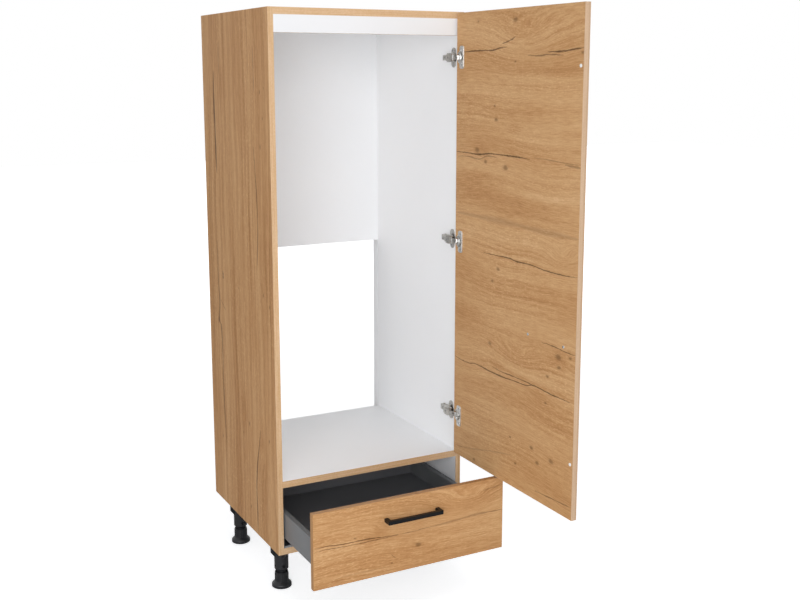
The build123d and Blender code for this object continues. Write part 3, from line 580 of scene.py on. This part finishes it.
def edgeBand(node, look):
    material, tree = newMaterial("oakBand_" + node)
    place = addNode(tree, "ShaderNodeTexCoord", out="Object")
    middle = sum(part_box(node), Vector()) / 2
    away = addNode(tree, "ShaderNodeVectorMath", {0: place, 1: middle}, operation="SUBTRACT")
    apart = addNode(tree, "ShaderNodeSeparateXYZ", {0: away}, out=None).outputs
    away = addNode(tree, "ShaderNodeMath", {0: apart[look["turnAxis"]]}, operation="ABSOLUTE")
    beyond = addNode(tree, "ShaderNodeMath", {0: away, 1: look["turnAt"]}, operation="GREATER_THAN")
    lines = []
    for along in (look["midGrain"], look["endGrain"]):
        scale = [620.0] * 3  # lines about 1.6 mm apart
        scale[along] = 7.0
        line = addNode(tree, "ShaderNodeVectorMath", {0: place, 1: scale}, operation="MULTIPLY")
        lines.append(addNode(tree, "ShaderNodeTexNoise", {"Vector": line, "Scale": 1.0, "Detail": 3.0}))
    grain = addNode(tree, "ShaderNodeMix", {0: beyond, 2: lines[0], 3: lines[1]})
    dots = addNode(tree, "ShaderNodeTexNoise", {"Vector": place, "Scale": 260.0, "Detail": 2.0})
    grain = addNode(tree, "ShaderNodeMath", {0: dots, 1: 0.4, 2: grain}, operation="MULTIPLY_ADD")
    tone = grain
    if "stripeTone" in look:
        edge, blur = look["stripeFrom"], 0.6 * mm
        stripe = addNode(tree, "ShaderNodeMapRange", {0: apart[look["stripeAxis"]], 1: edge - blur,
                                                      2: edge + blur, 3: 0.0, 4: look["stripeTone"]})
        tone = addNode(tree, "ShaderNodeMath", {0: grain, 1: stripe}, operation="ADD")
    ramp = addNode(tree, "ShaderNodeValToRGB", {0: tone}, out=None)
    setRamp(ramp, [(0.45, look["dark"]), (0.9, look["light"])])
    addSurface(tree, grain, 0.1, 0.5, {"Base Color": ramp.outputs[0], "Roughness": 0.5,
                                       "Specular IOR Level": 0.4})
    return material


for node, look in bandLooks.items():
    paint(edgeBand(node, look), node)

# Plain boards. bareFrom is the depth where the hidden face of a back begins.
boards = {
    "whiteMelamineBoard": {
        "nodes": ("top_panel", "niche_shelf"), "colours": ("#F9F9F9", "#FDFDFD"), "roughness": 0.42,
        "rawEdges": [(1, -0.0332, True)],
    },
    "whiteMelamineBottom": {
        "nodes": ("bottom_panel",), "colours": ("#F3F3F3", "#F8F8F8"), "roughness": 0.42,
        "rawEdges": [(1, -0.0332, True)],
    },
    # painted shade: the same white melamine as the top, made darker on the front rail in place of less light
    "whiteMelamineRailPaintedShade": {
        "nodes": ("front_rail",), "colours": ("#E5E5E5", "#EAEAEA"), "roughness": 0.42,
        "rawEdges": [(2, 1.5992, False)],
    },
    "whiteLacquerBack": {
        "nodes": ("back_panel_upper", "back_panel_lower"), "colours": ("#F1F1F1", "#F6F6F6"), "roughness": 0.5,
        "bareFrom": -0.0305,
    },
    "anthraciteMelamine": {
        "nodes": ("drawer_base", "drawer_back"), "colours": ("#626366", "#6C6D70"), "roughness": 0.45,
    },
}


# resin-coated paper on chipboard: matt, with a fine pearl that only shows close up
def melamine(name, look):
    material, tree = newMaterial(name)
    place = addNode(tree, "ShaderNodeTexCoord", out="Object")
    xyz = addNode(tree, "ShaderNodeSeparateXYZ", {0: place}, out=None).outputs
    pearl = addNode(tree, "ShaderNodeTexNoise", {"Vector": place, "Scale": 900.0, "Detail": 2.0})
    cloud = addNode(tree, "ShaderNodeTexNoise", {"Vector": place, "Scale": 3.0, "Detail": 1.0})
    tone = addNode(tree, "ShaderNodeMath", {0: pearl, 1: 0.6, 2: cloud}, operation="MULTIPLY_ADD")
    ramp = addNode(tree, "ShaderNodeValToRGB", {0: tone}, out=None)
    setRamp(ramp, list(zip((0.5, 1.0), look["colours"])))
    colour = rawEdges(tree, place, xyz, ramp.outputs[0], look.get("rawEdges", ()))
    # the hidden face of a back panel is bare brown fibreboard
    if "bareFrom" in look:
        fibre = addNode(tree, "ShaderNodeTexNoise", {"Vector": place, "Scale": 700.0, "Detail": 3.0})
        bare = addNode(tree, "ShaderNodeValToRGB", {0: fibre}, out=None)
        setRamp(bare, [(0.3, "#7A5B40"), (0.7, "#94724F")])
        behind = addNode(tree, "ShaderNodeMath", {0: xyz[1], 1: look["bareFrom"]}, operation="GREATER_THAN")
        colour = addNode(tree, "ShaderNodeMix", {0: behind, 6: colour, 7: bare.outputs[0]}, out=2,
                         data_type="RGBA")
    rough = look["roughness"]
    shine = addNode(tree, "ShaderNodeMapRange", {0: pearl, 1: 0.3, 2: 0.7, 3: rough - 0.05, 4: rough + 0.05})
    addSurface(tree, pearl, 0.05, 0.4, {"Base Color": colour, "Roughness": shine, "Specular IOR Level": 0.4})
    return material


for name, look in boards.items():
    paint(melamine(name, look), *look["nodes"])
print("edge bands and plain boards painted")


# Paint and plastic. Painted groove shade is a pair of dark lines on the rims of folded sheet, in place of the
# shade in their shallow grooves; each value is half the distance between the lines. None shows below the height
# given.
coats = {
    "greyPowderCoatSteel": {
        "nodes": ("drawer_side_left", "drawer_side_right"),
        "colours": ("#6C6D6F", "#787A7B"), "roughness": 0.42, "grain": 800.0, "gloss": 0.5,
        # the dark rim lines are painted shade of the shallow grooves on the rims
        "seams": (0.2765, 0.2696), "seamHeight": 0.2565, "seamColour": "#2B2B2D", "seamShare": 0.75,
    },
    "blackPowderCoatZamak": {
        "nodes": ("door_handle", "drawer_handle"),
        "colours": ("#0B0B0C", "#111112"), "roughness": 0.36, "grain": 900.0, "gloss": 0.22,
    },
    "blackMouldedPolypropylene": {
        "nodes": [f"foot_{part}_{f}" for part in ("socket", "base") for f in feet],
        "colours": ("#1B1B1D", "#232325"), "roughness": 0.36, "grain": 500.0, "gloss": 0.4,
    },
    "whiteSoftPolyurethane": {
        "nodes": ("door_bumpers",),
        "colours": ("#E9E9E6", "#F3F3F1"), "roughness": 0.3, "grain": 400.0, "gloss": 0.5,
    },
}


# a fine orange peel over pressed, cast or moulded forms
def powderCoat(name, look):
    material, tree = newMaterial(name)
    place = addNode(tree, "ShaderNodeTexCoord", out="Object")
    peel = addNode(tree, "ShaderNodeTexNoise", {"Vector": place, "Scale": look["grain"], "Detail": 3.0,
                                                "Roughness": 0.6})
    cloud = addNode(tree, "ShaderNodeTexNoise", {"Vector": place, "Scale": 11.0, "Detail": 2.0})
    tone = addNode(tree, "ShaderNodeMath", {0: peel, 1: 0.5, 2: cloud}, operation="MULTIPLY_ADD")
    ramp = addNode(tree, "ShaderNodeValToRGB", {0: tone}, out=None)
    setRamp(ramp, list(zip((0.45, 1.0), look["colours"])))
    colour = ramp.outputs[0]
    # painted shade of the rim grooves: dark lines mixed into the coat's colour
    for half in look.get("seams", ()):
        xyz = addNode(tree, "ShaderNodeSeparateXYZ", {0: place}, out=None).outputs
        away = addNode(tree, "ShaderNodeMath", {0: xyz[0]}, operation="ABSOLUTE")
        line = addNode(tree, "ShaderNodeMath", {0: away, 1: half, 2: 0.6 * mm}, operation="COMPARE")
        above = addNode(tree, "ShaderNodeMath", {0: xyz[2], 1: look["seamHeight"]}, operation="GREATER_THAN")
        line = addNode(tree, "ShaderNodeMath", {0: line, 1: above}, operation="MULTIPLY")
        line = addNode(tree, "ShaderNodeMath", {0: line, 1: look["seamShare"]}, operation="MULTIPLY")
        colour = addNode(tree, "ShaderNodeMix", {0: line, 6: colour, 7: linear(look["seamColour"])}, out=2,
                         data_type="RGBA")
    rough = look["roughness"]
    shine = addNode(tree, "ShaderNodeMapRange", {0: peel, 1: 0.3, 2: 0.7, 3: rough - 0.06, 4: rough + 0.06})
    addSurface(tree, peel, 0.1, 0.35, {"Base Color": colour, "Roughness": shine,
                                       "Specular IOR Level": look["gloss"]})
    return material


for name, look in coats.items():
    paint(powderCoat(name, look), *look["nodes"])

platings = {
    "nickelPlatedSteel": {
        "nodes": [f"{part}_{h}" for part in ("hinge_plate", "hinge_arm", "outer_link") for h in hinges],
        "colours": ("#AEABA5", "#D2CFC9"), "roughness": 0.26, "mottle": 60.0,
    },
    # painted highlight: the same nickel plating made lighter on the inner links and cups
    "nickelPlatedSteelPaintedHighlight": {
        "nodes": [f"{part}_{h}" for part in ("inner_link", "hinge_cup") for h in hinges],
        "colours": ("#D8D7D4", "#EFEEEB"), "roughness": 0.3, "mottle": 60.0,
    },
    "zincPlatedSteel": {
        "nodes": ("runner_rail_left", "runner_rail_right", "runner_middle_left", "runner_middle_right",
                  "drawer_runner_left", "drawer_runner_right", "cam_fittings", "front_fixings"),
        "colours": ("#A7AAAD", "#CACDCF"), "roughness": 0.34, "mottle": 90.0,
    },
    "brightZincScrewSteel": {
        "nodes": ("arm_pins", "cup_pins"),
        "colours": ("#B4B5B5", "#DADAD8"), "roughness": 0.24, "mottle": 200.0,
    },
}


# bright, with the slight cloudiness that barrel plating leaves
def platedSteel(name, look):
    material, tree = newMaterial(name)
    place = addNode(tree, "ShaderNodeTexCoord", out="Object")
    cloud = addNode(tree, "ShaderNodeTexNoise", {"Vector": place, "Scale": look["mottle"], "Detail": 4.0,
                                                 "Roughness": 0.6})
    ramp = addNode(tree, "ShaderNodeValToRGB", {0: cloud}, out=None)
    setRamp(ramp, list(zip((0.3, 0.7), look["colours"])))
    fine = addNode(tree, "ShaderNodeTexNoise", {"Vector": place, "Scale": 1500.0, "Detail": 2.0})
    both = addNode(tree, "ShaderNodeMath", {0: cloud, 1: 0.6, 2: fine}, operation="MULTIPLY_ADD")
    rough = look["roughness"]
    shine = addNode(tree, "ShaderNodeMapRange", {0: both, 1: 0.5, 2: 1.1, 3: rough - 0.08, 4: rough + 0.1})
    addSurface(tree, fine, 0.04, 0.4, {"Base Color": ramp.outputs[0], "Metallic": 1.0, "Roughness": shine})
    return material


steels = {name: platedSteel(name, look) for name, look in platings.items()}
for name, look in platings.items():
    paint(steels[name], *look["nodes"])


# turned beech: even pale wood with fine short rays
def beech():
    material, tree = newMaterial("flutedBeech")
    place = addNode(tree, "ShaderNodeTexCoord", out="Object")
    ray = addNode(tree, "ShaderNodeVectorMath", {0: place, 1: (60.0, 900.0, 900.0)}, operation="MULTIPLY")
    ray = addNode(tree, "ShaderNodeTexNoise", {"Vector": ray, "Scale": 1.0, "Detail": 3.0})
    ramp = addNode(tree, "ShaderNodeValToRGB", {0: ray}, out=None)
    setRamp(ramp, [(0.3, "#B9915F"), (0.7, "#D6B384")])
    addSurface(tree, ray, 0.1, 0.4, {"Base Color": ramp.outputs[0], "Roughness": 0.6})
    return material


paint(beech(), "dowels")
print("metals and plastics painted")

# Screws: a low round head with a pressed cross on a threaded shank. Heads and shanks are millimetres,
# places are metres, each with the direction that its head faces.
hingeHeights = (1.5371, 1.0072, 0.4773)
footSpots = [(x, y) for x in (-0.26, 0.26) for y in (-0.475, -0.12)]
socketSpots = [(0.016, -0.028), (0.016, 0.028), (-0.026, -0.026), (-0.026, 0.026)]
railSpots = [(x, -0.56 + depth, 0.181) for x in (-0.2828, 0.2828) for depth in (0.037, 0.261, 0.453)]
screwLooks = {
    "plateScrews": {
        "replaces": "plate_screws", "body": "carcass",
        "Head radius": 4.8, "Head height": 1.7, "Recess": 5.4, "Shank radius": 3.1, "Shank length": 12.0,
        "Thread pitch": 2.8,
        "spots": [((0.2828, -0.5325, z + side * 0.017), (-1, 0, 0)) for z in hingeHeights for side in (-1, 1)],
    },
    "railScrews": {
        "replaces": "plate_screws", "body": "carcass",
        "Head radius": 4.8, "Head height": 1.2, "Recess": 5.4, "Shank radius": 3.1, "Shank length": 12.0,
        "Thread pitch": 2.8,
        "spots": [(spot, (-math.copysign(1, spot[0]), 0, 0)) for spot in railSpots],
    },
    "armSideScrews": {
        "replaces": "arm_screws", "body": "carcass",
        "Head radius": 3.3, "Head height": 2.4, "Recess": 4.6, "Shank radius": 2.0, "Shank length": 12.6,
        "Thread pitch": 0.8,
        "spots": [((0.2619, -0.538, z), (-1, 0, 0)) for z in hingeHeights],
    },
    "armDepthScrews": {
        "replaces": "arm_screws", "body": "carcass",
        "Head radius": 3.3, "Head height": 2.4, "Recess": 4.6, "Shank radius": 2.0, "Shank length": 0.5,
        "Thread pitch": 0.8,
        "spots": [((0.274, -0.502, z), (-1, 0, 0)) for z in hingeHeights],
    },
    "cupScrews": {
        "replaces": "hinge_cup_screws", "body": "door",
        "Head radius": 3.7, "Head height": 1.0, "Recess": 4.4, "Shank radius": 1.75, "Shank length": 13.0,
        "Thread pitch": 1.6,
        "spots": [((0.26915, -0.6015, z + side * 0.0225), (-1, 0, 0)) for z in hingeHeights
                  for side in (-1, 1)],
    },
    "doorHandleScrews": {
        "replaces": "door_handle_screws", "body": "door",
        "Head radius": 4.2, "Head height": 1.8, "Recess": 4.8, "Shank radius": 2.0, "Shank length": 28.0,
        "Thread pitch": 0.8,
        "spots": [((0.27155, -1.0338 + side * 0.08, 0.8048), (-1, 0, 0)) for side in (-1, 1)],
    },
    "drawerHandleScrews": {
        "replaces": "drawer_handle_screws", "body": "drawer",
        "Head radius": 4.2, "Head height": 1.8, "Recess": 4.8, "Shank radius": 2.0, "Shank length": 28.0,
        "Thread pitch": 0.8,
        "spots": [((side * 0.08, -0.788, 0.2916), (0, 1, 0)) for side in (-1, 1)],
    },
    "footScrews": {
        "replaces": "foot_screws", "body": "carcass",
        "Head radius": 4.0, "Head height": 1.6, "Recess": 4.8, "Shank radius": 2.2, "Shank length": 15.0,
        "Thread pitch": 1.8,
        "spots": [((x + math.copysign(dx, x * dx), y + dy, 0.131), (0, 0, -1))
                  for x, y in footSpots for dx, dy in socketSpots],
    },
}


# Each size in a screw is a share of one that is given. The head stands on the zero plane, the shank under it.
screwShares = {
    "rim": ("Head height", 0.5),
    "rimMiddle": ("Head height", 0.25),
    "firstStep": ("Head height", 0.3),
    "secondStep": ("Head height", 0.2),
    "recessArm": ("Recess", 0.24),
    "recessMiddle": ("Head height", 0.95),
    "core": ("Shank radius", 0.8),
    "ridge": ("Shank radius", 0.16),
    "winding": ("Shank radius", 0.84),
    "straight": ("Shank length", 0.9),
    "straightMiddle": ("Shank length", -0.45),
    "tip": ("Shank length", 0.1),
    "threaded": ("Shank length", 0.8),
    "threadEnd": ("Shank length", -0.88),
}


def screwTree(sizeNames, shares, material):
    tree = bpy.data.node_groups.new("crossHeadScrews", "GeometryNodeTree")
    tree.interface.new_socket("Places", in_out="INPUT", socket_type="NodeSocketGeometry")
    for name in sizeNames:
        tree.interface.new_socket(name, in_out="INPUT", socket_type="NodeSocketFloat")
    tree.interface.new_socket("Screws", in_out="OUTPUT", socket_type="NodeSocketGeometry")
    given = addNode(tree, "NodeGroupInput", out=None).outputs
    size = {name: addNode(tree, "ShaderNodeMath", {0: given[whole], 1: part}, operation="MULTIPLY")
            for name, (whole, part) in shares.items()}

    def raised(piece, height):
        lift = addNode(tree, "ShaderNodeCombineXYZ", {2: height})
        return addNode(tree, "GeometryNodeTransform", {"Geometry": piece, "Translation": lift})

    def stepped(piece, end, steps):
        for rise, narrow in steps:
            grown = addNode(tree, "GeometryNodeExtrudeMesh", {"Mesh": piece, "Selection": end,
                                                              "Offset Scale": rise,
                                                              "Individual": False}, out=None)
            end = grown.outputs["Top"]
            piece = addNode(tree, "GeometryNodeScaleElements", {"Geometry": grown.outputs["Mesh"],
                                                                "Selection": end, "Scale": narrow})
        return piece

    # the head: a rim, then two steps that make its low dome
    rim = addNode(tree, "GeometryNodeMeshCylinder", {"Vertices": 32, "Radius": given["Head radius"],
                                                     "Depth": size["rim"]}, out=None)
    dome = [(size["firstStep"], 0.86), (size["secondStep"], 0.74)]  # each rise, and how it narrows
    head = raised(stepped(rim.outputs["Mesh"], rim.outputs["Top"], dome), size["rimMiddle"])
    carve = addNode(tree, "GeometryNodeMeshBoolean", {"Mesh 1": head}, out=None, operation="DIFFERENCE")
    for turn in (0, math.pi / 2):
        arm = addNode(tree, "ShaderNodeCombineXYZ", {0: given["Recess"], 1: size["recessArm"],
                                                     2: given["Head height"]})
        blade = raised(addNode(tree, "GeometryNodeMeshCube", {"Size": arm}), size["recessMiddle"])
        blade = addNode(tree, "GeometryNodeTransform", {"Geometry": blade, "Rotation": (0, 0, turn)})
        tree.links.new(blade, carve.inputs["Mesh 2"])

    # the shank narrows to its tip, and a fine ridge winds round it
    core = addNode(tree, "GeometryNodeMeshCylinder", {"Vertices": 16, "Radius": size["core"],
                                                      "Depth": size["straight"]}, out=None)
    tip = [(size["tip"], 0.35)]
    core = raised(stepped(core.outputs["Mesh"], core.outputs["Bottom"], tip), size["straightMiddle"])
    turns = addNode(tree, "ShaderNodeMath", {0: size["threaded"], 1: given["Thread pitch"]}, operation="DIVIDE")
    winding = addNode(tree, "GeometryNodeCurveSpiral", {"Resolution": 14, "Rotations": turns,
                                                        "Height": size["threaded"],
                                                        "Start Radius": size["winding"],
                                                        "End Radius": size["winding"]})
    ridge = addNode(tree, "GeometryNodeCurvePrimitiveCircle", {"Resolution": 3, "Radius": size["ridge"]})
    thread = addNode(tree, "GeometryNodeCurveToMesh", {"Curve": raised(winding, size["threadEnd"]),
                                                       "Profile Curve": ridge, "Fill Caps": True})
    whole = addNode(tree, "GeometryNodeJoinGeometry", out=None)
    for part in (carve.outputs["Mesh"], core, thread):
        tree.links.new(part, whole.inputs[0])

    facing = addNode(tree, "GeometryNodeInputNamedAttribute", {"Name": "facing"}, data_type="FLOAT_VECTOR")
    stand = addNode(tree, "FunctionNodeAlignRotationToVector", {"Vector": facing}, axis="Z")
    chance = addNode(tree, "FunctionNodeRandomValue", {2: 0.0, 3: math.pi, "Seed": 4}, out=1)
    spin = addNode(tree, "FunctionNodeAxisAngleToRotation", {"Axis": (0, 0, 1), "Angle": chance})
    stand = addNode(tree, "FunctionNodeRotateRotation", {0: stand, 1: spin}, rotation_space="LOCAL")
    placed = addNode(tree, "GeometryNodeInstanceOnPoints", {"Points": given["Places"],
                                                            "Instance": whole.outputs[0], "Rotation": stand})
    placed = addNode(tree, "GeometryNodeRealizeInstances", {0: placed})
    placed = addNode(tree, "GeometryNodeSetMaterial", {"Geometry": placed, "Material": material})
    addNode(tree, "NodeGroupOutput", {"Screws": placed}, out=None)
    return tree


def makeScrews(name, look, tree):
    mesh = bpy.data.meshes.new(name)
    mesh.from_pydata([spot for spot, facing in look["spots"]], [], [])
    toward = mesh.attributes.new("facing", "FLOAT_VECTOR", "POINT")
    toward.data.foreach_set("vector", [value for spot, facing in look["spots"] for value in facing])
    piece = bpy.data.objects.new(name, mesh)
    bpy.context.scene.collection.objects.link(piece)
    modifier = piece.modifiers.new("crossHeads", "NODES")
    modifier.node_group = tree
    for item in tree.interface.items_tree:
        if item.name in look:
            modifier[item.identifier] = look[item.name] * mm
    settled = piece.evaluated_get(bpy.context.evaluated_depsgraph_get())
    piece.data = bpy.data.meshes.new_from_object(settled)
    piece.modifiers.clear()
    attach(piece, look["body"])
    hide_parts(look["replaces"])


sizeNames = ("Head radius", "Head height", "Recess", "Shank radius", "Shank length", "Thread pitch")
crossHeads = screwTree(sizeNames, screwShares, steels["brightZincScrewSteel"])
for name, look in screwLooks.items():
    makeScrews(name, look, crossHeads)
print(len(screwLooks), "sets of screws made")
